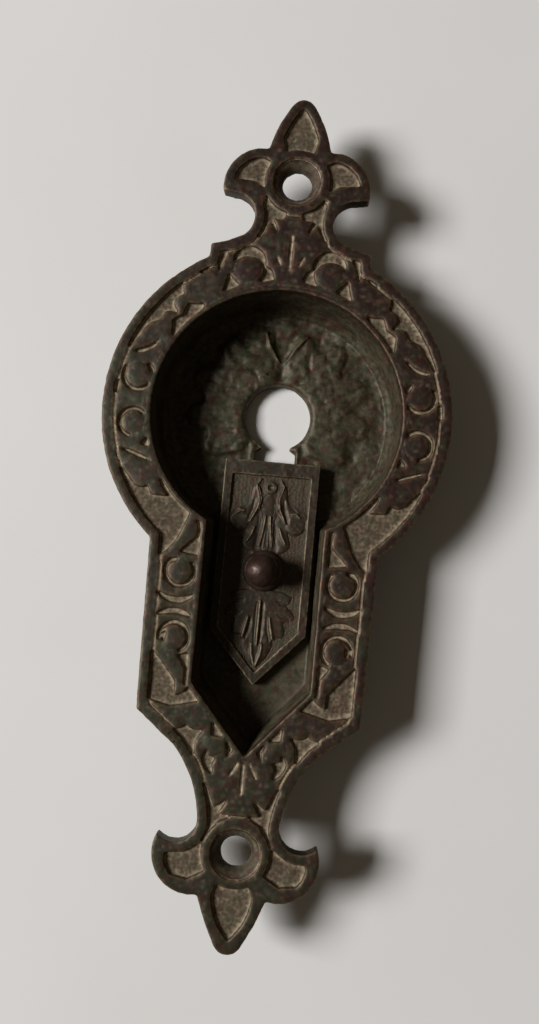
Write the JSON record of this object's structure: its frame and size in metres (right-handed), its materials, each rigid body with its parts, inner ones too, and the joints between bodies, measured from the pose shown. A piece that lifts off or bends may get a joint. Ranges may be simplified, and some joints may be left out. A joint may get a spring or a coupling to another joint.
{
  "type": "keyhole escutcheon with sliding cover",
  "caption": "Cast foliate escutcheon for a sliding door: trefoil-ended flange, sunk finger cup, keyhole and a pointed sliding keyhole cover with a small knob.",
  "frame": {"origin": "midway between the two screw holes, on the back of the flange", "axes": "+Z out of the decorated face, +Y along the plate towards the upper finial, +X to the viewer's right"},
  "size_m": [0.0598, 0.1452, 0.0122],
  "materials": {
    "cast_plate": "sand cast, dark brown patina with dust and verdigris",
    "cast_slide": "sand cast, dark brown patina with dust and verdigris",
    "turned_knob": "turned, worn reddish brown patina",
    "washer": "stamped, tarnished"
  },
  "bodies": {
    "plate": {"escutcheon_plate": "cast_plate"},
    "slide": {"keyhole_slide": "cast_slide", "slide_knob": "turned_knob", "friction_washer": "washer"}
  },
  "joints": [
    {"name": "cover_slide", "type": "slide", "parent": "plate", "child": "slide", "axis": [0, 1, 0], "range_m": [-0.0085, 0.0145]}
  ]
}
